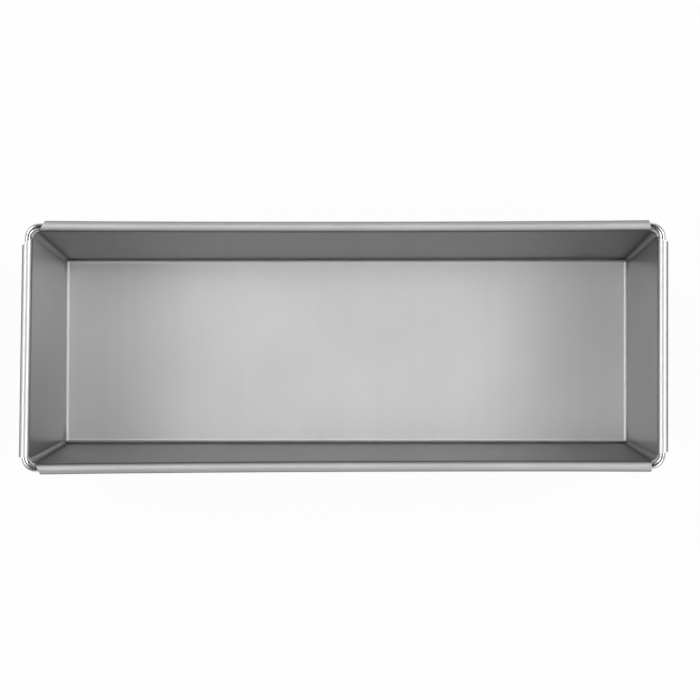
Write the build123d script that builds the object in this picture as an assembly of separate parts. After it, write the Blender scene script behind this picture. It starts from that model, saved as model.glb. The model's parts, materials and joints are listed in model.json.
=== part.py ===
from build123d import *
import os
from math import acos, atan, cos, degrees, radians, sin, tan

# Loaf pan folded from one blank of sheet, with its rim rolled over a closed wire.
# Millimetres. X runs along the pan, Y across it and Z up. The origin is the middle of the underside.

# Space inside the pan, where its walls reach the rolled rim
mouth_length = 311.0
mouth_width = 115.0
# Underside to the top of the rolled rim
pan_height = 73.0
# Lean of all four walls out of the upright, in degrees
wall_lean = 8.3

# Sheet and its bends, as inside radii
sheet_thickness = 0.6
floor_bend_radius = 1.2
floor_corner_radius = 1.6
mouth_corner_radius = 2.8

# Rim wire and the roll round it
wire_diameter = 4.0
wire_slack = 0.1
# Left open between the roll's raw edge and the wall
roll_edge_gap = 0.3
# Straight wall that shows between a roll's end and the corner bend
roll_end_land = 0.2
# How much further back a roll's outer side is cut than its inner side
roll_end_slant = 2.4

# Flaps of the folded corners, which lie on the outside of the end walls
flap_foot_height = 3.0
flap_top_gap = 0.4
flap_meeting_gap = 2.4
flap_layers = 2

# Past a face, so that a cut goes clean through it
overrun = 5.0

# Worked out from the sizes above
lean = radians(wall_lean)
wire_radius = wire_diameter / 2
roll_bore_radius = wire_radius + wire_slack
roll_radius = roll_bore_radius + sheet_thickness
wire_height = pan_height - roll_radius
mouth_height = wire_height + roll_radius * sin(lean)
wall_across = sheet_thickness / cos(lean)
flap_across = flap_layers * wall_across
flap_top_height = wire_height - roll_radius - flap_top_gap
# The roll turns until its raw edge stands off the wall's outer face by roll_edge_gap
roll_turn = 360 - degrees(acos(1 - (sheet_thickness + roll_edge_gap) / roll_radius))


def half_length(height):
    """Half the space between the end walls at a height."""
    return mouth_length / 2 - (mouth_height - height) * tan(lean)


def half_width(height):
    """Half the space between the long walls at a height."""
    return mouth_width / 2 - (mouth_height - height) * tan(lean)


def corner_radius(height):
    """Inside radius of the upright corners, which open like a cone towards the mouth."""
    climb_share = (height - sheet_thickness) / (mouth_height - sheet_thickness)
    return floor_corner_radius + (mouth_corner_radius - floor_corner_radius) * climb_share


def outline(height, grow_x, grow_y):
    """Level section of the pan's inside, grown outwards by what lies on its walls."""
    shape = RectangleRounded(
        2 * (half_length(height) + grow_x),
        2 * (half_width(height) + grow_y),
        corner_radius(height) + grow_y,
    )
    return Plane.XY.offset(height) * shape


def tapered_block(low, high, grow_x, grow_y):
    """Solid with the pan's leaning walls between two heights."""
    return loft([outline(low, grow_x, grow_y), outline(high, grow_x, grow_y)], ruled=True)


def bend_floor(block, radius):
    """Round the edges where the walls of a block leave its floor."""
    floor = block.faces().sort_by(Axis.Z)[0]
    return fillet(floor.edges(), radius)


def flap_outline():
    """Side view of one folded corner flap, across (Y) and up (Z), at the +Y side of an end wall.

    A flat blank makes the flap's angle: round a corner of the floor, the floor, both walls and the
    two layers of the flap add up to a full turn.
    """
    wall_spread = atan(sin(lean))
    fold_angle = radians(45) + 2 * wall_spread
    run_per_height = 1 / (cos(lean) * tan(fold_angle))
    foot_fold = half_width(sheet_thickness) - (flap_foot_height - sheet_thickness) * run_per_height
    top_fold = half_width(sheet_thickness) - (flap_top_height - sheet_thickness) * run_per_height
    outside = half_width(mouth_height) + overrun
    triangle = Polygon(
        (outside, flap_foot_height),
        (outside, flap_top_height),
        (top_fold, flap_top_height),
        (foot_fold, flap_foot_height),
        align=None,
    )
    own_side = Polygon(
        (flap_meeting_gap / 2, 0),
        (outside, 0),
        (outside, pan_height),
        (flap_meeting_gap / 2, pan_height),
        align=None,
    )
    return triangle & own_side


def corner_flap():
    """Folded corner at +X +Y: the long wall carried round the corner, and the flap under it."""
    start = half_length(0) - corner_radius(mouth_height)
    reach = half_length(pan_height) + flap_across + overrun - start
    side_view = Plane.YZ.offset(start) * flap_outline()
    block = tapered_block(flap_foot_height, flap_top_height, wall_across + flap_across, wall_across)
    flap = block & extrude(side_view, reach)
    # The fold is the long slanting edge on the flap's outer face
    outer_face = flap.faces().sort_by(Axis.X)[-1]
    fold = outer_face.edges().filter_by(GeomType.LINE).sort_by(Axis.Y)[0]
    return fillet(fold, sheet_thickness)


def roll_section():
    """Section of a rolled rim, outwards (X) and up (Y) from the wire's middle, with a strip of its wall."""
    start_angle = 180 - wall_lean
    end_angle = start_angle - roll_turn
    inwards = Vector(-cos(lean), sin(lean))
    down = Vector(-sin(lean), -cos(lean))
    strip = 2 * roll_radius
    end_way = Vector(cos(radians(end_angle)), sin(radians(end_angle)))
    outer = CenterArc((0, 0), roll_radius, start_angle, -roll_turn)
    bore = CenterArc((0, 0), roll_bore_radius, end_angle, roll_turn)
    raw_edge = Line(end_way * roll_radius, end_way * roll_bore_radius)
    wall = Polyline(
        inwards * roll_bore_radius,
        inwards * roll_bore_radius + down * strip,
        inwards * roll_radius + down * strip,
        inwards * roll_radius,
    )
    return make_face([outer, raw_edge, bore, wall])


def rolled_rim(side_half, straight_half):
    """One rolled rim on the +X side of a pan whose mouth is side_half away and straight_half long."""
    centre = side_half + roll_radius * cos(lean)
    inner_half = straight_half - roll_end_land
    outer_half = inner_half - roll_end_slant
    section_plane = Plane(
        origin=(centre, inner_half, wire_height), x_dir=(1, 0, 0), z_dir=(0, -1, 0)
    )
    roll = extrude(section_plane * roll_section(), 2 * inner_half)
    inside = side_half - 2 * roll_radius
    outside = centre + roll_radius
    # Seen from above the ends are cut slanting, so the roll is shorter on its outer side
    plan = Polygon(
        (inside, -inner_half),
        (side_half, -inner_half),
        (outside, -outer_half),
        (outside, outer_half),
        (side_half, inner_half),
        (inside, inner_half),
        align=None,
    )
    return roll & extrude(plan, pan_height + overrun)


def make_pan_sheet():
    """Floor, walls, folded corners and rolled rims, all bent from one sheet."""
    outside = bend_floor(
        tapered_block(0, mouth_height, wall_across, wall_across),
        floor_bend_radius + sheet_thickness,
    )
    flap = corner_flap()
    flaps = [
        flap,
        mirror(flap, Plane.XZ),
        mirror(flap, Plane.YZ),
        mirror(mirror(flap, Plane.XZ), Plane.YZ),
    ]
    for piece in flaps:
        outside = outside + piece
    inside = bend_floor(tapered_block(sheet_thickness, pan_height, 0, 0), floor_bend_radius)
    sheet = outside - inside
    end_roll = rolled_rim(mouth_length / 2, mouth_width / 2 - mouth_corner_radius)
    long_roll = rolled_rim(mouth_width / 2, mouth_length / 2 - mouth_corner_radius)
    for turn in (0, 180):
        sheet = sheet + Rot(0, 0, turn) * end_roll
        sheet = sheet + Rot(0, 0, turn + 90) * long_roll
    return sheet


def make_rim_wire():
    """Closed loop of round wire inside the rolls, bare at the four corners."""
    centre_x = mouth_length / 2 + roll_radius * cos(lean)
    centre_y = mouth_width / 2 + roll_radius * cos(lean)
    bend_radius = mouth_corner_radius + roll_radius * cos(lean)
    loop = Plane.XY.offset(wire_height) * RectangleRounded(2 * centre_x, 2 * centre_y, bend_radius)
    path = loop.wire()
    start = Plane(origin=path @ 0, z_dir=path % 0)
    return sweep(start * Circle(wire_radius), path=path)


parts = {
    "pan_sheet": make_pan_sheet(),
    "rim_wire": make_rim_wire(),
}

os.makedirs("parts", exist_ok=True)
for name, shape in parts.items():
    solids = shape.solids()
    box = shape.bounding_box()
    print(name, "solids", len(solids), "valid", shape.is_valid, "volume", round(shape.volume, 1))
    print("  from", [round(v, 3) for v in box.min], "to", [round(v, 3) for v in box.max])
    export_step(shape, f"parts/{name}.step")
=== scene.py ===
import json
import math
from typing import NamedTuple

import bmesh
import bpy
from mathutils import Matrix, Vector

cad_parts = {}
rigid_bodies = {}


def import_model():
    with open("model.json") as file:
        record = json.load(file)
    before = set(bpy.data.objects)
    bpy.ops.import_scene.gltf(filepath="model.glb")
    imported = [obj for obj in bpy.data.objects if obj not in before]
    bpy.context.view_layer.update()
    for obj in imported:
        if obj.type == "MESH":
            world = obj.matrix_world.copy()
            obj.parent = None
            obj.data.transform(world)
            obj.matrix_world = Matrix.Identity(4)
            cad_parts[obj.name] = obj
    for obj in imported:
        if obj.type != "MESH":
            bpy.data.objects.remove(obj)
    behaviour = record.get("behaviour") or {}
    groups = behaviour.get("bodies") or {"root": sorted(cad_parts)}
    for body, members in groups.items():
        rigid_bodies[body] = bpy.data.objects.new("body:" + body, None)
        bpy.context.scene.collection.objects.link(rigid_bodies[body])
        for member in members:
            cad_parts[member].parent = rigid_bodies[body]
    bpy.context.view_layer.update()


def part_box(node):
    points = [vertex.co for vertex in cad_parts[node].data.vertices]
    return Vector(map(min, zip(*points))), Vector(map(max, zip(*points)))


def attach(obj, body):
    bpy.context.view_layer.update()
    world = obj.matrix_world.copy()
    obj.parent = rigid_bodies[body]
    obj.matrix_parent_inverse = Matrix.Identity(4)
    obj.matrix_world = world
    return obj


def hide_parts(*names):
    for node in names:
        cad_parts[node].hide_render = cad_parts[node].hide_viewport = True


bl_info = {
    "name": "Loaf Pan Workshop",
    "version": (1, 0, 0),
    "blender": (4, 5, 0),
    "location": "3D View > Sidebar > Loaf Pan",
    "description": "Bends a long loaf pan from sheet steel, wires its rim and lays it out for a picture",
    "category": "Add Mesh",
}

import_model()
SHEET_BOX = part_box("pan_sheet")

# A choice by place in a mesh takes what lies this near
NEAR = 1e-6
# A choice by distance from a line or a slanting plane takes what lies this near
LOOSE = 5 * NEAR
# Doubled corners closer than this are one
WELD = 2e-6
# Edges that turn less than this are smooth
SMOOTH_ANGLE = math.radians(35)
# Steps round the upright corners, round the bend at the floor, round a roll and round a fold
CORNER_STEPS = 10
BEND_STEPS = 8
ROLL_STEPS = 44
FOLD_STEPS = 8
# Sides of the wire, its steps round a corner, and its parts along a long and a short run
WIRE_SIDES = 28
WIRE_CORNER_STEPS = 16
LONG_RUN_PARTS = 30
SHORT_RUN_PARTS = 10
# The walls are divided in steps, up to this far from their ends, so that they can follow the warp
CUT_STEP = 0.01
CUT_MARGIN = 0.014
# A flap starts this far past the corner bend
FLAP_LAND = 0.00005


def length_setting(name, description, default, low):
    """Length in the panel."""
    return bpy.props.FloatProperty(
        name=name, description=description, default=default, min=low, unit="LENGTH")


def angle_setting(name, description, default, low, high):
    """Angle in the panel."""
    return bpy.props.FloatProperty(
        name=name, description=description, default=default, min=low, max=high, subtype="ANGLE")


def grey_setting(name, description, grey):
    """Colour in the panel, a grey to begin with."""
    return bpy.props.FloatVectorProperty(
        name=name, description=description, default=(grey, grey, grey), size=3, min=0.0, max=1.0,
        subtype="COLOR")


def share_setting(name, description, default, low):
    """Share up to one in the panel."""
    return bpy.props.FloatProperty(
        name=name, description=description, default=default, min=low, max=1.0, subtype="FACTOR")


class PanSizes(bpy.types.PropertyGroup):
    """Sizes of the folded sheet."""

    mouth_length: length_setting(
        "Mouth Length", "Space between the end walls where they reach the rolled rim", 0.311, 0.05)
    mouth_width: length_setting(
        "Mouth Width", "Space between the long walls where they reach the rolled rim", 0.115, 0.03)
    height: length_setting(
        "Height", "Underside to the top of the rolled rim", SHEET_BOX[1].z, 0.02)
    wall_lean: angle_setting(
        "Wall Lean", "Lean of the walls out of the upright", math.radians(8.3), 0.01, 0.6)
    sheet: length_setting("Sheet", "Thickness of the sheet", 0.0006, 0.0002)
    bend_radius: length_setting(
        "Bend Radius", "Inside radius between the floor and the walls", 0.0020, 0.0002)
    floor_corner: length_setting(
        "Floor Corner", "Inside radius of the upright corners at the floor", 0.0016, 0.0002)
    mouth_corner: length_setting(
        "Mouth Corner", "Inside radius of the upright corners at the mouth", 0.0028, 0.0002)
    roll_radius: length_setting("Roll Radius", "Outside radius of the rolled rim", 0.0027, 0.001)
    roll_turn: angle_setting(
        "Roll Turn", "Angle that the sheet turns round the wire", math.radians(311.8), 1.0, 6.2)
    roll_end_land: length_setting(
        "Roll End Land", "Straight wall between a roll's end and the corner bend", 0.0002, 0.0)
    roll_end_slant: length_setting(
        "Roll End Slant", "How much further back a roll's outer side is cut", 0.0024, 0.0)


class WireSizes(bpy.types.PropertyGroup):
    """Sizes of the wire in the rim."""

    diameter: length_setting("Diameter", "Thickness of the wire", 0.0036, 0.001)
    inset: length_setting(
        "Inset", "How far the wire lies in from the middle of the roll", 0.00025, 0.0)
    bend_radius: length_setting(
        "Bend Radius", "Radius of the wire's middle line at the corners", 0.0056, 0.002)


class FoldSizes(bpy.types.PropertyGroup):
    """Sizes of the folded corners on the outside of the end walls."""

    foot: length_setting("Foot", "Height at which the folded flap begins", 0.003, 0.0)
    top: length_setting(
        "Top", "Height at which the folded flap ends, under the roll", 0.0672, 0.01)
    layer: length_setting(
        "Layer", "Thickness of one layer of a flap, a hair under the sheet's own so that it lies free",
        0.00059, 0.0002)


class Finishes(bpy.types.PropertyGroup):
    """Colours and gloss of the steel."""

    sheet_colour: grey_setting("Sheet Colour", "Colour of the aluminised sheet", 0.67)
    sheet_worn: grey_setting("Sheet Edges", "Colour of the sheet where its edges are rubbed bright", 0.86)
    sheet_roughness: share_setting("Sheet Roughness", "Roughness of the sheet between its marks", 0.42, 0.05)
    # Paler than the sheet: partly burnished steel, partly painted light on the raised rims
    rim_colour_with_painted_light: grey_setting("Rim Colour", "Colour of the rims, burnished where they were rolled", 0.84)
    rim_roughness: share_setting("Rim Roughness", "Roughness of the rolled rims", 0.48, 0.05)
    wire_colour: grey_setting("Wire Colour", "Colour of the drawn wire", 0.74)
    wire_roughness: share_setting("Wire Roughness", "Roughness of the drawn wire", 0.16, 0.02)


class StageSettings(bpy.types.PropertyGroup):
    """Floor, light and view."""

    floor_size: length_setting("Floor Size", "Side of the square floor", 14.0, 1.0)
    floor_colour: grey_setting("Floor Colour", "Colour of the floor", 0.95)
    light_level: bpy.props.FloatProperty(
        name="Light Level", description="Strength of all the soft panels together", default=0.99, min=0.0)
    lens: bpy.props.FloatProperty(
        name="Lens", description="Focal length of the camera, in millimetres", default=163.69, min=20.0)


def sizes():
    """Sizes of the sheet, with what follows from them."""
    pan = bpy.context.scene.pan_sizes
    lean = pan.wall_lean
    roll = pan.roll_radius
    wire_height = pan.height - roll
    mouth_height = wire_height + roll * math.sin(lean)
    return pan, lean, roll, wire_height, mouth_height


def half_spaces(height):
    """Half the space between the end walls and between the long walls, at a height."""
    pan, lean, _, _, mouth_height = sizes()
    drop = (mouth_height - height) * math.tan(lean)
    return pan.mouth_length / 2 - drop, pan.mouth_width / 2 - drop


def corner_radius(height):
    """Inside radius of the upright corners, which open like a cone towards the mouth."""
    pan, _, _, _, mouth_height = sizes()
    climb = (height - pan.sheet) / (mouth_height - pan.sheet)
    return pan.floor_corner + (pan.mouth_corner - pan.floor_corner) * climb


def clear_choice():
    """Leave edit mode and deselect everything."""
    if bpy.context.object and bpy.context.object.mode != "OBJECT":
        bpy.ops.object.mode_set(mode="OBJECT")
    bpy.ops.object.select_all(action="DESELECT")


def take_up(piece):
    """Make a piece the only chosen one."""
    clear_choice()
    piece.select_set(True)
    bpy.context.view_layer.objects.active = piece


def edit(kind="VERT"):
    """Open the active piece for editing with nothing chosen in it."""
    bpy.ops.object.mode_set(mode="EDIT")
    bpy.ops.mesh.select_mode(type=kind)
    bpy.ops.mesh.select_all(action="DESELECT")


def choose(kind, test):
    """Choose the vertices, edges or faces of the piece in hand whose vertices all pass a test."""
    bpy.ops.mesh.select_mode(type=kind)
    bpy.ops.mesh.select_all(action="DESELECT")
    mesh = bmesh.from_edit_mesh(bpy.context.object.data)
    if kind == "VERT":
        for vertex in mesh.verts:
            vertex.select = test(vertex.co)
    else:
        for element in mesh.edges if kind == "EDGE" else mesh.faces:
            element.select = all(test(vertex.co) for vertex in element.verts)
    mesh.select_flush_mode()
    bmesh.update_edit_mesh(bpy.context.object.data)


def choose_open_edges():
    """Choose the open edges of the piece in hand."""
    choose("EDGE", lambda co: True)
    mesh = bmesh.from_edit_mesh(bpy.context.object.data)
    for edge in mesh.edges:
        edge.select = edge.select and edge.is_boundary
    mesh.select_flush_mode()
    bmesh.update_edit_mesh(bpy.context.object.data)


def weld():
    """Join the doubled corners of the piece in hand and turn its faces the same way."""
    bpy.ops.mesh.select_all(action="SELECT")
    bpy.ops.mesh.remove_doubles(threshold=WELD)
    bpy.ops.mesh.normals_make_consistent(inside=False)


def extrude(x, y, z):
    """Pull the chosen edges of the piece in hand out by a move."""
    bpy.ops.mesh.extrude_edges_move(TRANSFORM_OT_translate={"value": (x, y, z)})


def finish_mesh():
    """Smooth the active piece and weight its normals."""
    bpy.ops.object.mode_set(mode="OBJECT")
    bpy.ops.object.shade_smooth_by_angle(angle=SMOOTH_ANGLE)
    apply_modifier("WEIGHTED_NORMAL", mode="FACE_AREA", weight=60, keep_sharp=True)


def apply_modifier(kind, **settings):
    """Add a modifier to the active piece, set it and apply it."""
    piece = bpy.context.object
    modifier = piece.modifiers.new(kind.title(), kind)
    for name, value in settings.items():
        setattr(modifier, name, value)
    bpy.ops.object.modifier_apply(modifier=modifier.name)


def thicken(thickness):
    """Give the active piece the sheet's thickness, behind the faces that are drawn."""
    bpy.ops.object.mode_set(mode="OBJECT")
    apply_modifier(
        "SOLIDIFY", thickness=thickness, offset=-1, use_even_offset=True, use_quality_normals=True)


def rounded_ring(name, low, high, grow_x, grow_y, with_floor):
    """Leaning ring of wall between two heights, with round corners, grown out from the pan's inside."""
    clear_choice()
    half_x, half_y = half_spaces(low)
    bpy.ops.mesh.primitive_plane_add(size=2, location=(0, 0, 0))
    piece = bpy.context.object
    piece.name = piece.data.name = name
    edit()
    bpy.ops.mesh.select_all(action="SELECT")
    bpy.ops.transform.resize(value=(half_x + grow_x, half_y + grow_y, 1))
    bpy.ops.transform.translate(value=(0, 0, low))
    low_radius = corner_radius(low) + grow_y
    high_radius = corner_radius(high) + grow_y
    bpy.ops.mesh.bevel(affect="VERTICES", offset=low_radius, segments=CORNER_STEPS, clamp_overlap=False)
    if with_floor:
        choose_open_edges()
    else:
        bpy.ops.mesh.delete(type="ONLY_FACE")
        choose("EDGE", lambda co: True)
    extrude(0, 0, high - low)
    high_x, high_y = half_spaces(high)
    for side_x in (-1, 1):
        for side_y in (-1, 1):
            old = Vector((
                side_x * (half_x + grow_x - low_radius), side_y * (half_y + grow_y - low_radius), high))
            new = Vector((
                side_x * (high_x + grow_x - high_radius), side_y * (high_y + grow_y - high_radius), high))
            choose("VERT", lambda co: co.z > high - NEAR and co.x * side_x > 0 and co.y * side_y > 0)
            growth = high_radius / low_radius
            bpy.ops.transform.resize(value=(growth, growth, 1), center_override=old)
            bpy.ops.transform.translate(value=new - old)
    return piece


def cut_across(axis, places):
    """Divide the piece in hand by cuts square to an axis."""
    normal = [0.0, 0.0, 0.0]
    normal[axis] = 1.0
    for distance in places:
        place = [0.0, 0.0, 0.0]
        place[axis] = distance
        bpy.ops.mesh.select_all(action="SELECT")
        bpy.ops.mesh.bisect(plane_co=place, plane_no=normal, threshold=NEAR)


def even_places(reach, step):
    """Places in even steps out from the middle, up to a reach on both sides."""
    count = int(reach // step)
    return [number * step for number in range(-count, count + 1)]


# Warp of the real pan: reach of the cage, how far the long walls are drawn in, the swing of one
# long wall, the skew of the ends at the rim and at the floor, and what fits it all in the CAD's box
WARP_LENGTH = 0.170
WARP_WIDTH = 0.0602
WARP_HEIGHT = 0.0703
WARP_DRAW_IN = 0.00073
WARP_SWING = 0.0045
WARP_RIM_SKEW = 0.008
WARP_RIM_TAPER = 0.0043
WARP_FLOOR_SKEW = 0.0025
WARP_SHARE = 0.9961
WARP_SHIFT_X = 0.00022
WARP_SHIFT_Y = 0.00034


def bend_out_of_true(pieces):
    """Give the pieces the small warp of the real pan: long walls drawn in and ends a little skew."""
    clear_choice()
    bpy.ops.object.add(type="LATTICE", location=(0, 0, WARP_HEIGHT / 2))
    cage = bpy.context.object
    cage.data.points_u, cage.data.points_v, cage.data.points_w = 9, 2, 2
    cage.data.interpolation_type_u = "KEY_CARDINAL"
    cage.data.interpolation_type_v = cage.data.interpolation_type_w = "KEY_LINEAR"
    cage.scale = (2 * WARP_LENGTH, 2 * WARP_WIDTH, WARP_HEIGHT)
    bpy.context.view_layer.update()
    into = cage.matrix_world.inverted()
    for point in cage.data.points:
        place = cage.matrix_world @ point.co
        climb = place.z / WARP_HEIGHT
        along = 1 - (place.x / WARP_LENGTH) ** 2
        side = place.y / WARP_WIDTH
        moved = place.copy()
        moved.y -= WARP_DRAW_IN * along * climb * side
        moved.y += WARP_SWING * place.x * climb * (1 - side) / 2
        rim_skew = WARP_RIM_SKEW - WARP_RIM_TAPER * place.x / WARP_LENGTH
        moved.x += place.y * (WARP_FLOOR_SKEW + (rim_skew - WARP_FLOOR_SKEW) * climb)
        moved.x = moved.x * WARP_SHARE + WARP_SHIFT_X
        moved.y = moved.y * WARP_SHARE + WARP_SHIFT_Y
        point.co_deform = into @ moved
    for piece in pieces:
        take_up(piece)
        apply_modifier("LATTICE", object=cage)
    take_up(cage)
    bpy.ops.object.delete()


# Share of the full slant that each roll end was cut with: axis of the wall, its side, end of the roll
SLANT_SHARES = {
    (0, -1, 1): 1.7, (0, -1, -1): 0.1, (0, 1, 1): 1.1, (0, 1, -1): 0.7,
    (1, 1, -1): 1.3, (1, 1, 1): 0.5, (1, -1, -1): 1.0, (1, -1, 1): 0.05,
}


class OBJECT_OT_pan_body(bpy.types.Operator):
    """Floor, walls and rolled rims, bent from one sheet"""

    bl_idname = "loaf_pan.body"
    bl_label = "Pan Body"

    def execute(self, context):
        pan, lean, _, _, mouth_height = sizes()
        body = rounded_ring("pan_body", pan.sheet, mouth_height, 0, 0, True)
        # Round the bend between the floor and the walls
        choose("EDGE", lambda co: co.z < pan.sheet + NEAR)
        setback = pan.bend_radius * math.tan((math.pi / 2 - lean) / 2)
        bpy.ops.mesh.bevel(
            affect="EDGES", offset_type="OFFSET", offset=setback, segments=BEND_STEPS, clamp_overlap=False)
        half_x, half_y = half_spaces(mouth_height)
        for axis, half in ((0, half_x), (1, half_y)):
            roll_end = half - pan.mouth_corner - pan.roll_end_land
            cut_across(axis, even_places(half - CUT_MARGIN, CUT_STEP) + [-roll_end, roll_end])
        for side in (-1, 1):
            self.roll_rim(0, side, half_x, half_y)
            self.roll_rim(1, side, half_y, half_x)
        weld()
        mesh = bmesh.from_edit_mesh(body.data)
        mesh.faces.ensure_lookup_table()
        floor_face = min(mesh.faces, key=lambda face: face.calc_center_median().z)
        if floor_face.normal.z < 0:
            bpy.ops.mesh.flip_normals()
        thicken(pan.sheet)
        finish_mesh()
        return {"FINISHED"}

    def roll_rim(self, axis, side, side_half, straight):
        """Spin the top edge of one wall round the wire and cut the roll's ends slanting."""
        pan, lean, roll, wire_height, mouth_height = sizes()
        centre = side * (side_half + roll * math.cos(lean))
        inner = straight - pan.mouth_corner - pan.roll_end_land

        def on_edge(co):
            on_side = co.z > mouth_height - NEAR and abs(co[axis] * side - side_half) < NEAR
            return on_side and abs(co[1 - axis]) < inner + NEAR

        choose("EDGE", on_edge)
        middle = [0.0, 0.0, wire_height]
        middle[axis] = centre
        turn_axis = [0.0, 0.0, 0.0]
        turn_axis[1 - axis] = side * (-1 if axis == 0 else 1)
        bpy.ops.mesh.spin(steps=ROLL_STEPS, angle=pan.roll_turn, center=middle, axis=turn_axis)

        def on_roll(co):
            return abs(math.hypot(co[axis] - centre, co.z - wire_height) - roll) < LOOSE

        across = Vector((0, 0, 0))
        across[axis] = side * (centre * side + roll - side_half)
        for end in (-1, 1):
            choose("FACE", on_roll)
            slant = across.copy()
            slant[1 - axis] = -end * pan.roll_end_slant * SLANT_SHARES[axis, side, end]
            normal = slant.cross(Vector((0, 0, 1)))
            if normal[1 - axis] * end < 0:
                normal.negate()
            place = Vector((0, 0, 0))
            place[axis] = side * side_half
            place[1 - axis] = end * inner
            bpy.ops.mesh.bisect(plane_co=place, plane_no=normal, clear_outer=True, threshold=NEAR)


class OBJECT_OT_rim_wire(bpy.types.Operator):
    """Closed loop of wire inside the rolled rims, bare at the corners"""

    bl_idname = "loaf_pan.rim_wire"
    bl_label = "Rim Wire"

    def execute(self, context):
        pan, lean, roll, wire_height, _ = sizes()
        wire = context.scene.wire_sizes
        turn = wire.bend_radius
        run_x = pan.mouth_length / 2 + roll * math.cos(lean) - wire.inset - turn
        run_y = pan.mouth_width / 2 + roll * math.cos(lean) - wire.inset - turn
        clear_choice()
        bpy.ops.mesh.primitive_circle_add(
            vertices=WIRE_SIDES, radius=wire.diameter / 2, fill_type="NOTHING",
            location=(-run_x, run_y + turn, wire_height), rotation=(0, math.pi / 2, 0))
        loop = context.object
        loop.name = loop.data.name = "rim_wire_loop"
        bpy.ops.object.transform_apply(location=True, rotation=True, scale=True)
        edit("EDGE")
        bpy.ops.mesh.select_all(action="SELECT")
        # Straight run, then a quarter turn, four times round
        runs = (
            (2 * run_x, (1, 0), LONG_RUN_PARTS),
            (2 * run_y, (0, -1), SHORT_RUN_PARTS),
            (2 * run_x, (-1, 0), LONG_RUN_PARTS),
            (2 * run_y, (0, 1), SHORT_RUN_PARTS),
        )
        corners = ((run_x, run_y), (run_x, -run_y), (-run_x, -run_y), (-run_x, run_y))
        for (length, way, parts), corner in zip(runs, corners):
            part = length / parts
            for _ in range(parts):
                extrude(way[0] * part, way[1] * part, 0)
            bpy.ops.mesh.spin(
                steps=WIRE_CORNER_STEPS, angle=math.pi / 2,
                center=(corner[0], corner[1], wire_height), axis=(0, 0, 1))
        weld()
        finish_mesh()
        return {"FINISHED"}


class OBJECT_OT_corner_folds(bpy.types.Operator):
    """Two-layer flaps of the folded corners, flat on the outside of the end walls"""

    bl_idname = "loaf_pan.corner_folds"
    bl_label = "Corner Folds"

    def execute(self, context):
        pan, lean, _, _, _ = sizes()
        fold = context.scene.fold_sizes
        across = pan.sheet / math.cos(lean)
        grow_x, grow_y = 3 * across, across
        flap = rounded_ring("corner_fold_a", fold.foot, fold.top, grow_x, grow_y, False)
        # Line of the fold on the end wall's outer face, from a flat blank's angles
        spread = math.atan(math.sin(lean))
        run = 1 / (math.cos(lean) * math.tan(math.radians(45) + 2 * spread))
        half_floor = half_spaces(pan.sheet)[1]

        def fold_point(height):
            x = half_spaces(height)[0] + grow_x
            return Vector((x, half_floor - (height - pan.sheet) * run, height))

        low, high = fold_point(fold.foot), fold_point(fold.top)

        def corner_line(height):
            half_x, half_y = half_spaces(height)
            radius = corner_radius(height)
            return half_x - radius, half_y - radius

        # Keep the +X +Y corner: from the long wall's corner bend, round the corner, to the fold
        low_x, low_y = corner_line(fold.foot)
        high_x, high_y = corner_line(fold.top)
        start = Vector((low_x + FLAP_LAND, 0, fold.foot))
        along = Vector((high_x + FLAP_LAND, 0, fold.top)) - start
        self.cut_away(start, along.cross(Vector((0, 1, 0))), Vector((-1, 0, 0)))
        self.cut_away(low, (high - low).cross(Vector((1, 0, 0))), Vector((0, -1, 0)))
        # Hairpin bend at the fold, then the under layer back to the corner
        outward = Vector((math.cos(lean), 0, -math.sin(lean)))
        fold_way = (high - low).normalized()
        choose("EDGE", lambda co: (co - low).cross(fold_way).length < LOOSE)
        bpy.ops.mesh.spin(
            steps=FOLD_STEPS, angle=math.pi, center=low - outward * fold.layer, axis=fold_way)
        extrude(0, pan.mouth_width / 2, 0)
        under = low - outward * 2 * fold.layer

        def on_under(co):
            return abs((co - under).dot(outward)) < LOOSE

        choose("FACE", on_under)
        line_low = Vector((0, low_y, fold.foot))
        line_way = Vector((0, high_y, fold.top)) - line_low
        cut = line_way.cross(Vector((1, 0, 0)))
        if cut.y < 0:
            cut.negate()
        bpy.ops.mesh.bisect(plane_co=line_low, plane_no=cut, clear_outer=True, threshold=NEAR)
        weld()
        mesh = bmesh.from_edit_mesh(flap.data)
        outer = max(mesh.faces, key=lambda face: face.calc_center_median().x)
        if outer.normal.x < 0:
            bpy.ops.mesh.flip_normals()
        thicken(fold.layer)
        edit()
        cut_across(1, even_places(pan.mouth_width / 2, CUT_STEP))
        finish_mesh()
        names = ("corner_fold_b", "corner_fold_c", "corner_fold_d")
        for name, flips in zip(names, ((-1, 1), (1, -1), (-1, -1))):
            take_up(flap)
            bpy.ops.object.duplicate(linked=False)
            copy = context.object
            copy.name = copy.data.name = name
            edit()
            bpy.ops.mesh.select_all(action="SELECT")
            bpy.ops.transform.resize(value=(flips[0], flips[1], 1), center_override=(0, 0, 0))
            if flips[0] * flips[1] < 0:
                bpy.ops.mesh.flip_normals()
            finish_mesh()
        return {"FINISHED"}

    def cut_away(self, place, normal, side):
        """Cut everything off the piece in hand on one side of a plane."""
        if normal.dot(side) < 0:
            normal = -normal
        bpy.ops.mesh.select_all(action="SELECT")
        bpy.ops.mesh.bisect(plane_co=place, plane_no=normal, clear_outer=True, threshold=NEAR)


FOLD_NAMES = ("corner_fold_a", "corner_fold_b", "corner_fold_c", "corner_fold_d")


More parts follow.
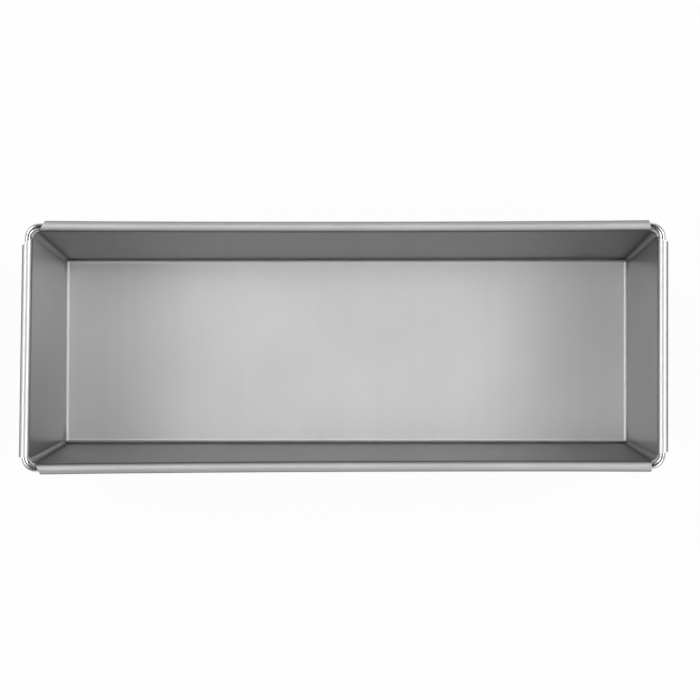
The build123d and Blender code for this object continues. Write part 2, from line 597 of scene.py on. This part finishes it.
class OBJECT_OT_seat_pieces(bpy.types.Operator):
    """Warp the pieces a little, give them their finishes and tie them to the frame"""

    bl_idname = "loaf_pan.seat_pieces"
    bl_label = "Seat And Finish"

    def execute(self, context):
        objects = bpy.data.objects
        body = objects["pan_body"]
        sheet_pieces = [body] + [objects[name] for name in FOLD_NAMES]
        wire = objects["rim_wire_loop"]
        finish = context.scene.finishes
        steel = sheet_steel("sheet_steel", finish.sheet_colour, finish.sheet_roughness, SHEET_LOOK)
        # The rims' paler colour is partly painted light on the raised rims
        rolled = sheet_steel("rolled_steel", finish.rim_colour_with_painted_light, finish.rim_roughness, RIM_LOOK)
        bright = drawn_steel()
        for piece in sheet_pieces:
            piece.data.materials.append(steel)
        body.data.materials.append(rolled)
        self.finish_rims(body)
        bend_out_of_true(sheet_pieces + [wire])
        for piece in sheet_pieces:
            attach(piece, "root")
            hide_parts("pan_sheet")
        wire.data.materials.append(bright)
        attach(wire, "root")
        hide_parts("rim_wire")
        return {"FINISHED"}

    def finish_rims(self, body):
        """Give the rolled rims of the body its second material."""
        pan, lean, roll, wire_height, _ = sizes()
        middle_x = pan.mouth_length / 2 + roll * math.cos(lean)
        middle_y = pan.mouth_width / 2 + roll * math.cos(lean)

        def on_rim(co):
            out_x = math.hypot(abs(co.x) - middle_x, co.z - wire_height)
            out_y = math.hypot(abs(co.y) - middle_y, co.z - wire_height)
            return min(out_x, out_y) < roll + LOOSE

        take_up(body)
        edit("FACE")
        choose("FACE", on_rim)
        body.active_material_index = 1
        bpy.ops.object.material_slot_assign()
        bpy.ops.object.mode_set(mode="OBJECT")


def add_node(tree, kind, values=None, **settings):
    """Add a node, set it up, and set or link its sockets."""
    made = tree.nodes.new(kind)
    for name, value in settings.items():
        setattr(made, name, value)
    for socket, value in (values or {}).items():
        if isinstance(value, bpy.types.NodeSocket):
            tree.links.new(value, made.inputs[socket])
        else:
            made.inputs[socket].default_value = value
    return made


def calculate(tree, operation, first, second=0.0, third=0.0, clamp=False):
    """Output of a Math node."""
    values = {0: first, 1: second, 2: third}
    return add_node(tree, "ShaderNodeMath", values, operation=operation, use_clamp=clamp).outputs[0]


def spread(tree, value, low, high, new_low=0.0, new_high=1.0):
    """Output of a Map Range node."""
    values = {"Value": value, "From Min": low, "From Max": high, "To Min": new_low, "To Max": new_high}
    return add_node(tree, "ShaderNodeMapRange", values, clamp=True).outputs[0]


def blend(tree, share, first, second):
    """Output of a colour Mix node."""
    mixer = add_node(tree, "ShaderNodeMix", data_type="RGBA")
    for socket, value in ((0, share), (6, first), (7, second)):
        if isinstance(value, bpy.types.NodeSocket):
            tree.links.new(value, mixer.inputs[socket])
        else:
            mixer.inputs[socket].default_value = value
    return mixer.outputs[2]


def noise(tree, vector, scale, detail, roughness=0.5):
    """Output of a Noise Texture node."""
    values = {"Vector": vector, "Scale": scale, "Detail": detail, "Roughness": roughness}
    return add_node(tree, "ShaderNodeTexNoise", values).outputs["Fac"]


def distance_past(tree, place, limit):
    """How far a coordinate lies past a limit, alike on both sides of the middle."""
    return calculate(tree, "SUBTRACT", calculate(tree, "ABSOLUTE", place), limit)


def shade(colour, share):
    """A colour made darker or paler, with its alpha."""
    return [min(1.0, channel * share) for channel in colour] + [1.0]


def new_group(name, inputs, outputs):
    """Empty shader node group with named sockets."""
    group = bpy.data.node_groups.new(name, "ShaderNodeTree")
    for label, default in inputs.items():
        socket = group.interface.new_socket(name=label, in_out="INPUT", socket_type="NodeSocketFloat")
        socket.default_value = default
    for label in outputs:
        group.interface.new_socket(name=label, in_out="OUTPUT", socket_type="NodeSocketFloat")
    return group, group.nodes.new("NodeGroupInput"), group.nodes.new("NodeGroupOutput")


def place_group(tree, group, **values):
    """Place a node group in a material with its own values."""
    placed = add_node(tree, "ShaderNodeGroup", node_tree=group)
    for label, value in values.items():
        placed.inputs[label.replace("_", " ").title()].default_value = value
    return placed


def cross_grain_group():
    """Fine grain of the rolled sheet, which runs across the pan, up the long walls and round the rolls."""
    inputs = {"Fineness": 900.0, "Length": 0.04, "Band Share": 0.16, "Margin": 0.02}
    group, start, end = new_group("cross_grain", inputs, ("Streaks", "Bands"))
    place = add_node(group, "ShaderNodeTexCoord")
    spot = add_node(group, "ShaderNodeSeparateXYZ", {0: place.outputs["Object"]})
    facing = add_node(group, "ShaderNodeSeparateXYZ", {0: place.outputs["Normal"]})
    # On the end walls the blank's length runs up the wall
    across = calculate(
        group, "ADD", calculate(group, "ABSOLUTE", facing.outputs["Y"]), start.outputs["Margin"])
    on_end = calculate(group, "GREATER_THAN", calculate(group, "ABSOLUTE", facing.outputs["X"]), across)
    climb = calculate(group, "MULTIPLY", spot.outputs["Z"], on_end)
    along = calculate(group, "ADD", spot.outputs["X"], climb)
    drop = calculate(group, "SUBTRACT", spot.outputs["Z"], climb)
    flat = add_node(group, "ShaderNodeCombineXYZ", {"X": along})
    side = add_node(group, "ShaderNodeCombineXYZ", {"Y": spot.outputs["Y"], "Z": drop})
    length = start.outputs["Length"]
    stretched = add_node(
        group, "ShaderNodeVectorMath", {0: side.outputs[0], "Scale": length}, operation="SCALE")
    spot_on_blank = add_node(
        group, "ShaderNodeVectorMath", {0: flat.outputs[0], 1: stretched.outputs[0]}, operation="ADD")
    fine = noise(group, spot_on_blank.outputs[0], start.outputs["Fineness"], 4.0, 0.6)
    broad_scale = calculate(group, "MULTIPLY", start.outputs["Fineness"], start.outputs["Band Share"])
    broad = noise(group, spot_on_blank.outputs[0], broad_scale, 2.0)
    group.links.new(fine, end.inputs["Streaks"])
    group.links.new(broad, end.inputs["Bands"])
    return group


def cloudiness_group():
    """Slow change of the coating's tone, and its fine crystal speckle."""
    inputs = {"Scale": 22.0, "Speckle Scale": 1500.0}
    group, start, end = new_group("cloudiness", inputs, ("Cloud", "Speckle"))
    place = add_node(group, "ShaderNodeTexCoord")
    cloud = noise(group, place.outputs["Object"], start.outputs["Scale"], 3.0, 0.45)
    speckle = noise(group, place.outputs["Object"], start.outputs["Speckle Scale"], 2.0)
    group.links.new(cloud, end.inputs["Cloud"])
    group.links.new(speckle, end.inputs["Speckle"])
    return group


def edge_wear_group():
    """Mask of edges that are rubbed bright, a little broken up along their length."""
    inputs = {"Reach": 0.0004, "Strength": 5.0, "Roundness": 0.98, "Patch Scale": 260.0, "Least": 0.55}
    group, start, end = new_group("edge_wear", inputs, ("Wear",))
    rounded = add_node(group, "ShaderNodeBevel", {"Radius": start.outputs["Reach"]}, samples=6)
    true = add_node(group, "ShaderNodeNewGeometry")
    match = add_node(
        group, "ShaderNodeVectorMath", {0: rounded.outputs[0], 1: true.outputs["Normal"]},
        operation="DOT_PRODUCT")
    # A roll's own roundness doesn't count as an edge
    turn = calculate(group, "SUBTRACT", start.outputs["Roundness"], match.outputs["Value"], clamp=True)
    place = add_node(group, "ShaderNodeTexCoord")
    patches = noise(group, place.outputs["Object"], start.outputs["Patch Scale"], 3.0)
    uneven = spread(group, patches, 0.35, 0.65, start.outputs["Least"], 1.0)
    strong = calculate(group, "MULTIPLY", turn, start.outputs["Strength"])
    wear = calculate(group, "MULTIPLY", strong, uneven, clamp=True)
    group.links.new(wear, end.inputs["Wear"])
    return group


def handling_marks_group():
    """Mask of sparse hair-fine scratches from handling, at two slants."""
    inputs = {"Fineness": 700.0, "Sparseness": 0.68, "Softness": 0.03, "Area Scale": 30.0}
    group, start, end = new_group("handling_marks", inputs, ("Marks",))
    place = add_node(group, "ShaderNodeTexCoord")
    marks = None
    for turn, shift in ((0.35, 0.0), (-1.1, 3.7)):
        turned = add_node(group, "ShaderNodeMapping", {
            "Vector": place.outputs["Object"], "Location": (shift, 0, 0),
            "Rotation": (0.2, 0.3, turn), "Scale": (1.0, 0.03, 0.4)})
        hairs = noise(group, turned.outputs[0], start.outputs["Fineness"], 1.0)
        limit = calculate(group, "ADD", start.outputs["Sparseness"], start.outputs["Softness"])
        hair = spread(group, hairs, start.outputs["Sparseness"], limit)
        marks = hair if marks is None else calculate(group, "MAXIMUM", marks, hair)
    areas = noise(group, place.outputs["Object"], start.outputs["Area Scale"], 1.0)
    handled = spread(group, areas, 0.5, 0.62)
    group.links.new(calculate(group, "MULTIPLY", marks, handled), end.inputs["Marks"])
    return group


# Where each mask of painted shade begins and is full: distance past both inner faces, distance past
# the end wall's, height, open light, and the upright part of the normal
FOLD_PLACES = (-0.012, -0.006)
END_PLACES = (-0.002, -0.0005)
FOLD_HEIGHTS = (0.0006, 0.0025)
OPEN_TO_SHUT = (0.96, 0.55)
LEVEL_TO_UPRIGHT = (0.94, 0.5)


def painted_shade_masks_group():
    """Masks of painted shade by place: tight upright folds in the corners, the end walls, and upright sides.
    """
    inputs = {
        "Half Length": 0.1555, "Half Width": 0.0575, "Mouth Height": 0.0703, "Wall Slope": 0.146,
        "Reach": 0.008, "Hardness": 1.8,
    }
    group, start, end = new_group("painted_shade_masks", inputs, ("Folds", "Ends", "Sides"))
    place = add_node(group, "ShaderNodeTexCoord")
    spot = add_node(group, "ShaderNodeSeparateXYZ", {0: place.outputs["Object"]})
    # The walls lean in by this much at a height
    drop = calculate(group, "SUBTRACT", start.outputs["Mouth Height"], spot.outputs["Z"])
    lean = calculate(group, "MULTIPLY", drop, start.outputs["Wall Slope"])
    past_x = distance_past(group, spot.outputs["X"], start.outputs["Half Length"])
    past_y = distance_past(group, spot.outputs["Y"], start.outputs["Half Width"])
    past_x = calculate(group, "ADD", past_x, lean)
    past_y = calculate(group, "ADD", past_y, lean)
    near = spread(group, calculate(group, "MINIMUM", past_x, past_y), *FOLD_PLACES)
    # Ambient occlusion finds the tight upright folds, which get painted shade in the corners
    hollow = add_node(
        group, "ShaderNodeAmbientOcclusion", {"Distance": start.outputs["Reach"]},
        samples=8, only_local=True)
    shut = spread(group, hollow.outputs["AO"], *OPEN_TO_SHUT)
    tight = calculate(group, "POWER", shut, start.outputs["Hardness"])
    above_floor = spread(group, spot.outputs["Z"], *FOLD_HEIGHTS)
    folds = calculate(group, "MULTIPLY", calculate(group, "MULTIPLY", tight, near), above_floor)
    group.links.new(folds, end.inputs["Folds"])
    # Mask of upright sides, for painted shade on the rims' sides
    level = add_node(group, "ShaderNodeSeparateXYZ", {0: place.outputs["Normal"]})
    tilt = calculate(group, "ABSOLUTE", level.outputs["Z"])
    group.links.new(spread(group, tilt, *LEVEL_TO_UPRIGHT), end.inputs["Sides"])
    # Mask of the end walls, for their painted shade and their extra gloss
    group.links.new(spread(group, past_x, *END_PLACES), end.inputs["Ends"])
    return group


def drawn_grain_group():
    """Fine lines along a wire that is bent into a rounded rectangle."""
    inputs = {"Half Length": 0.15, "Half Width": 0.05, "Fineness": 1500.0, "Length": 0.03}
    group, start, end = new_group("drawn_grain", inputs, ("Lines",))
    place = add_node(group, "ShaderNodeTexCoord")
    spot = add_node(group, "ShaderNodeSeparateXYZ", {0: place.outputs["Object"]})
    # Distance out from the rounded rectangle, which stays the same along the wire
    past_x = distance_past(group, spot.outputs["X"], start.outputs["Half Length"])
    past_y = distance_past(group, spot.outputs["Y"], start.outputs["Half Width"])
    corner = add_node(group, "ShaderNodeCombineXYZ", {
        "X": calculate(group, "MAXIMUM", past_x, 0.0), "Y": calculate(group, "MAXIMUM", past_y, 0.0)})
    out = add_node(group, "ShaderNodeVectorMath", {0: corner.outputs[0]}, operation="LENGTH")
    inside = calculate(group, "MINIMUM", calculate(group, "MAXIMUM", past_x, past_y), 0.0)
    reach = calculate(group, "ADD", out.outputs["Value"], inside)
    both = calculate(group, "ADD", spot.outputs["X"], spot.outputs["Y"])
    run = calculate(group, "MULTIPLY", both, start.outputs["Length"])
    round_wire = add_node(group, "ShaderNodeCombineXYZ", {"X": reach, "Y": spot.outputs["Z"], "Z": run})
    lines = noise(group, round_wire.outputs[0], start.outputs["Fineness"], 3.0)
    group.links.new(lines, end.inputs["Lines"])
    return group


def shared_group(name, build):
    """Node group by name, built the first time that it is asked for."""
    return bpy.data.node_groups.get(name) or build()


def new_metal(name):
    """Material with a metallic shader, its node tree and its shader."""
    material = bpy.data.materials.new(name)
    material.use_nodes = True
    shader = material.node_tree.nodes["Principled BSDF"]
    shader.inputs["Metallic"].default_value = 1.0
    return material, material.node_tree, shader


def link_metal(tree, shader, colour, rough, height, relief):
    """Link a metal's colour, roughness and relief to its shader."""
    tree.links.new(colour, shader.inputs["Base Color"])
    tree.links.new(rough, shader.inputs["Roughness"])
    values = {"Strength": relief, "Distance": RELIEF_HEIGHT, "Height": height}
    bump = add_node(tree, "ShaderNodeBump", values)
    tree.links.new(bump.outputs[0], shader.inputs["Normal"])


class SteelLook(NamedTuple):
    """How one part of the sheet takes the light."""

    # How much longer a highlight is along the pan than along the grain
    stretch: float
    # How bright grazing light comes back
    edge_tint: float
    # How much glossier the end walls are
    end_gloss: float
    # Share of painted shade on the end walls, in tight folds and on upright sides
    end_painted_shade: float
    fold_painted_shade: float
    side_painted_shade: float
    # Depth of the grain
    relief: float


SHEET_LOOK = SteelLook(
    stretch=0.9, edge_tint=0.45, end_gloss=0.12, end_painted_shade=0.34,
    fold_painted_shade=1.0, side_painted_shade=0.0, relief=0.1)
# The rims are burnished by the rolling, and their upright sides are darkened with painted shade
RIM_LOOK = SteelLook(
    stretch=0.1, edge_tint=0.1, end_gloss=0.0, end_painted_shade=0.0,
    fold_painted_shade=0.0, side_painted_shade=0.85, relief=0.04)
# Where most of a noise's values lie
NOISE_RANGE = (0.3, 0.7)
# Shares of streaks, bands and clouds in the sheet's mottle, and its darkest and palest tone
STREAK_SHARE = 0.2
BAND_SHARE = 0.3
CLOUD_SHARE = 0.5
SHEET_TONES = (0.98, 1.02)
# Colour of the painted shade, as a share of the steel's colour
PAINTED_SHADE_SHARE = 0.3
# Share of rubbed steel in a scratch, its extra gloss, and its depth beside the grain's
MARK_COLOUR = 0.03
MARK_GLOSS = 0.005
MARK_DEPTH = 0.08
# Extra gloss of rubbed edges, and how far clouds and streaks change the roughness
EDGE_GLOSS = 0.1
CLOUD_ROUGHNESS = 0.015
STREAK_ROUGHNESS = 0.03
# Depth of the speckle beside the grain's
SPECKLE_DEPTH = 0.35
# Height of the relief that a bump of full strength stands for
RELIEF_HEIGHT = 0.00001


def sheet_steel(name, tint, base, look):
    """Satin aluminised sheet with its rolling grain across the pan."""
    finish = bpy.context.scene.finishes
    material, tree, shader = new_metal(name)
    grain = place_group(tree, shared_group("cross_grain", cross_grain_group))
    tone = place_group(tree, shared_group("cloudiness", cloudiness_group))
    edges = place_group(tree, shared_group("edge_wear", edge_wear_group))
    marks = place_group(tree, shared_group("handling_marks", handling_marks_group))
    streaks = calculate(tree, "MULTIPLY", grain.outputs["Streaks"], STREAK_SHARE)
    banded = calculate(tree, "MULTIPLY_ADD", grain.outputs["Bands"], BAND_SHARE, streaks)
    mottled = calculate(tree, "MULTIPLY_ADD", tone.outputs["Cloud"], CLOUD_SHARE, banded)
    mottled = spread(tree, mottled, 0.38, 0.62)
    dark, light = (shade(tint, share) for share in SHEET_TONES)
    colour = blend(tree, mottled, dark, light)
    worn = [*finish.sheet_worn, 1.0]
    colour = blend(tree, edges.outputs["Wear"], colour, worn)
    colour = blend(tree, calculate(tree, "MULTIPLY", marks.outputs["Marks"], MARK_COLOUR), colour, worn)
    folds = place_group(tree, shared_group("painted_shade_masks", painted_shade_masks_group))
    # Painted shade: the colour is darkened in tight folds, on upright sides and on the end walls, by each
    # look's shares
    painted_shade_colour = shade(tint, PAINTED_SHADE_SHARE)
    painted_shades = (("Folds", look.fold_painted_shade), ("Sides", look.side_painted_shade), ("Ends", look.end_painted_shade))
    for mask, share in painted_shades:
        colour = blend(tree, calculate(tree, "MULTIPLY", folds.outputs[mask], share), colour, painted_shade_colour)
    rough = spread(
        tree, tone.outputs["Cloud"], *NOISE_RANGE, base - CLOUD_ROUGHNESS, base + CLOUD_ROUGHNESS)
    off_middle = calculate(tree, "SUBTRACT", grain.outputs["Streaks"], 0.5)
    rough = calculate(tree, "MULTIPLY_ADD", off_middle, STREAK_ROUGHNESS, rough)
    rough = calculate(tree, "MULTIPLY_ADD", edges.outputs["Wear"], -EDGE_GLOSS, rough)
    rough = calculate(tree, "MULTIPLY_ADD", folds.outputs["Ends"], -look.end_gloss, rough)
    rough = calculate(tree, "MULTIPLY_ADD", marks.outputs["Marks"], -MARK_GLOSS, rough, clamp=True)
    height = calculate(
        tree, "MULTIPLY_ADD", tone.outputs["Speckle"], SPECKLE_DEPTH, grain.outputs["Streaks"])
    height = calculate(tree, "MULTIPLY_ADD", marks.outputs["Marks"], -MARK_DEPTH, height)
    link_metal(tree, shader, colour, rough, height, look.relief)
    # The grain scatters light mostly along the pan
    shader.inputs["Anisotropic"].default_value = look.stretch
    way = add_node(tree, "ShaderNodeCombineXYZ", {"X": 1.0})
    tree.links.new(way.outputs[0], shader.inputs["Tangent"])
    shader.inputs["Specular Tint"].default_value = (*[look.edge_tint] * 3, 1.0)
    return material


# The wire: share of lines in its mottle, its darkest and palest tone, the part of lines and of
# scratches in its roughness, depth of a scratch, strength of the relief
LINE_SHARE = 0.7
WIRE_TONES = (0.9, 1.08)
WIRE_SMOOTHER = 0.05
WIRE_ROUGHER = 0.07
WIRE_MARK_ROUGHNESS = 0.12
WIRE_MARK_DEPTH = 0.5
WIRE_RELIEF = 0.35


def drawn_steel():
    """Bright drawn wire, with fine lines along it."""
    finish = bpy.context.scene.finishes
    pan = bpy.context.scene.pan_sizes
    material, tree, shader = new_metal("drawn_steel")
    lines = place_group(
        tree, shared_group("drawn_grain", drawn_grain_group),
        half_length=pan.mouth_length / 2 - pan.mouth_corner,
        half_width=pan.mouth_width / 2 - pan.mouth_corner)
    tone = place_group(tree, shared_group("cloudiness", cloudiness_group), scale=90.0)
    marks = place_group(
        tree, shared_group("handling_marks", handling_marks_group), fineness=1400.0, sparseness=0.62)
    edges = place_group(tree, shared_group("edge_wear", edge_wear_group))
    dark, light = (shade(finish.wire_colour, share) for share in WIRE_TONES)
    clouded = calculate(tree, "MULTIPLY", tone.outputs["Cloud"], 1 - LINE_SHARE)
    streaked = calculate(tree, "MULTIPLY_ADD", lines.outputs["Lines"], LINE_SHARE, clouded)
    streaked = spread(tree, streaked, 0.36, 0.64)
    colour = blend(tree, streaked, dark, light)
    colour = blend(tree, edges.outputs["Wear"], colour, light)
    base = finish.wire_roughness
    rough = spread(
        tree, lines.outputs["Lines"], *NOISE_RANGE, base - WIRE_SMOOTHER, base + WIRE_ROUGHER)
    rough = calculate(
        tree, "MULTIPLY_ADD", marks.outputs["Marks"], WIRE_MARK_ROUGHNESS, rough, clamp=True)
    height = calculate(
        tree, "MULTIPLY_ADD", marks.outputs["Marks"], -WIRE_MARK_DEPTH, lines.outputs["Lines"])
    link_metal(tree, shader, colour, rough, height, WIRE_RELIEF)
    shader.inputs["Specular Tint"].default_value = (0.8, 0.8, 0.8, 1.0)
    return material


# Share of the floor that the camera sees as plain white, the rest being lit, so that a shadow stays
WHITE_SHARE = 0.95
# Heights at which the white horizon begins to fade and has faded out
HORIZON = (0.06, 0.16)
# Light of the room between the panels
ROOM_LEVEL = 0.03
# Soft panels overhead: angles of the middle along and across the pan, half widths, strength
PANELS = (
    (-43, 39, 10, 11, 5.4),
    (-44, -18, 10, 11, 3.2),
    (-29, 18, 8, 10, 2.3),
    (-46, 0, 8, 10, 4.7),
    (-29, -18, 8, 10, 1.9),
    (44, 20, 10, 11, 6.2),
    (43, -38, 10, 11, 3.8),
    (42, 62, 9, 12, 0.8),
    (42, -62, 9, 12, 1.0),
    (29, 18, 8, 10, 2.6),
    (46, 0, 8, 10, 2.5),
    (29, -18, 8, 10, 2.8),
    (27, -62, 7, 12, 1.1),
    (0, 64, 22, 11, 0.5),
    (0, -64, 22, 11, 0.5),
)


def studio_white():
    """White floor that keeps a faint shadow and can be seen through from below."""
    settings = bpy.context.scene.stage_settings
    material = bpy.data.materials.new("studio_white")
    material.use_nodes = True
    tree = material.node_tree
    shader = tree.nodes["Principled BSDF"]
    shader.inputs["Base Color"].default_value = (*settings.floor_colour, 1.0)
    shader.inputs["Roughness"].default_value = 0.9
    shader.inputs["Specular IOR Level"].default_value = 0.0
    glow = add_node(tree, "ShaderNodeEmission", {"Color": (1, 1, 1, 1), "Strength": 1.0})
    path = add_node(tree, "ShaderNodeLightPath")
    seen = calculate(tree, "MAXIMUM", path.outputs["Is Camera Ray"], path.outputs["Is Glossy Ray"])
    seen = calculate(tree, "MAXIMUM", seen, path.outputs["Is Transmission Ray"])
    share = calculate(tree, "MULTIPLY", seen, WHITE_SHARE)
    top = add_node(tree, "ShaderNodeMixShader", {0: share, 1: shader.outputs[0], 2: glow.outputs[0]})
    clear = add_node(tree, "ShaderNodeBsdfTransparent")
    side = add_node(tree, "ShaderNodeNewGeometry")
    both = add_node(
        tree, "ShaderNodeMixShader",
        {0: side.outputs["Backfacing"], 1: top.outputs[0], 2: clear.outputs[0]})
    tree.links.new(both.outputs[0], tree.nodes["Material Output"].inputs["Surface"])
    return material


def studio_world():
    """Studio with a white horizon and soft panels overhead."""
    world = bpy.data.worlds.new("studio_world")
    world.use_nodes = True
    tree = world.node_tree
    background = tree.nodes["Background"]
    place = add_node(tree, "ShaderNodeTexCoord")
    way = add_node(tree, "ShaderNodeSeparateXYZ", {0: place.outputs["Generated"]})
    up = calculate(tree, "MAXIMUM", way.outputs["Z"], 0.0001)
    along = calculate(tree, "ARCTAN2", way.outputs["X"], up)
    across = calculate(tree, "ARCTAN2", way.outputs["Y"], up)
    # White at the horizon and below, fading out a little above it
    total = spread(tree, way.outputs["Z"], *HORIZON, 1.0, ROOM_LEVEL)
    overhead = calculate(tree, "GREATER_THAN", way.outputs["Z"], 0.0)
    level = bpy.context.scene.stage_settings.light_level
    for middle_along, middle_across, half_along, half_across, strength in PANELS:
        off_along = calculate(
            tree, "MULTIPLY_ADD", along, 1 / math.radians(half_along), -middle_along / half_along)
        off_across = calculate(
            tree, "MULTIPLY_ADD", across, 1 / math.radians(half_across), -middle_across / half_across)
        squares = calculate(tree, "MULTIPLY", off_across, off_across)
        squares = calculate(tree, "MULTIPLY_ADD", off_along, off_along, squares)
        fall = calculate(tree, "POWER", 0.5, squares)
        shown = calculate(tree, "MULTIPLY", fall, overhead)
        total = calculate(tree, "MULTIPLY_ADD", shown, strength * level, total)
    # The camera sees plain white behind the object
    path = add_node(tree, "ShaderNodeLightPath")
    unseen = calculate(tree, "SUBTRACT", 1.0, path.outputs["Is Camera Ray"])
    total = calculate(tree, "MULTIPLY_ADD", total, unseen, path.outputs["Is Camera Ray"])
    tree.links.new(total, background.inputs["Strength"])
    background.inputs["Color"].default_value = (1, 1, 1, 1)
    return world


# Where the camera stands, and its turn out of the straight view down
CAMERA_PLACE = (0.02563, -0.05240, 1.64403)
CAMERA_TURN = (0.03245, 0.01424, 0)
# The floor lies this far under the pan, so that the two faces stay apart
FLOOR_GAP = 0.0001


class OBJECT_OT_stage(bpy.types.Operator):
    """Pale floor, soft light and the camera"""

    bl_idname = "loaf_pan.stage"
    bl_label = "Stage"

    def execute(self, context):
        settings = context.scene.stage_settings
        clear_choice()
        bpy.ops.mesh.primitive_plane_add(size=settings.floor_size, location=(0, 0, -FLOOR_GAP))
        floor = context.object
        floor.name = floor.data.name = "studio_floor"
        floor.data.materials.append(studio_white())
        context.scene.world = studio_world()
        bpy.ops.object.camera_add(location=CAMERA_PLACE, rotation=CAMERA_TURN)
        camera = context.object
        camera.name = "studio_camera"
        camera.data.lens = settings.lens
        camera.data.clip_start = 0.05
        camera.data.clip_end = 60
        context.scene.camera = camera
        context.scene.view_settings.view_transform = "Standard"
        return {"FINISHED"}


class VIEW3D_PT_loaf_pan(bpy.types.Panel):
    """Buttons and sizes for the loaf pan"""

    bl_label = "Loaf Pan"
    bl_idname = "VIEW3D_PT_loaf_pan"
    bl_space_type = "VIEW_3D"
    bl_region_type = "UI"
    bl_category = "Loaf Pan"

    def draw(self, context):
        scene = context.scene
        for group in (getattr(scene, name) for name in GROUPS):
            box = self.layout.box()
            for name in group.__annotations__:
                box.prop(group, name)
        for step in STEPS:
            self.layout.operator(step.bl_idname)


STEPS = (
    OBJECT_OT_pan_body,
    OBJECT_OT_rim_wire,
    OBJECT_OT_corner_folds,
    OBJECT_OT_seat_pieces,
    OBJECT_OT_stage,
)
GROUPS = {
    "pan_sizes": PanSizes,
    "wire_sizes": WireSizes,
    "fold_sizes": FoldSizes,
    "finishes": Finishes,
    "stage_settings": StageSettings,
}


def register():
    for name, group in GROUPS.items():
        bpy.utils.register_class(group)
        setattr(bpy.types.Scene, name, bpy.props.PointerProperty(type=group))
    for step in STEPS:
        bpy.utils.register_class(step)
    bpy.utils.register_class(VIEW3D_PT_loaf_pan)


def unregister():
    bpy.utils.unregister_class(VIEW3D_PT_loaf_pan)
    for step in reversed(STEPS):
        bpy.utils.unregister_class(step)
    for name, group in reversed(GROUPS.items()):
        delattr(bpy.types.Scene, name)
        bpy.utils.unregister_class(group)


def main():
    register()
    bpy.ops.loaf_pan.body()
    bpy.ops.loaf_pan.rim_wire()
    bpy.ops.loaf_pan.corner_folds()
    bpy.ops.loaf_pan.seat_pieces()
    bpy.ops.loaf_pan.stage()


if __name__ == "__main__":
    main()
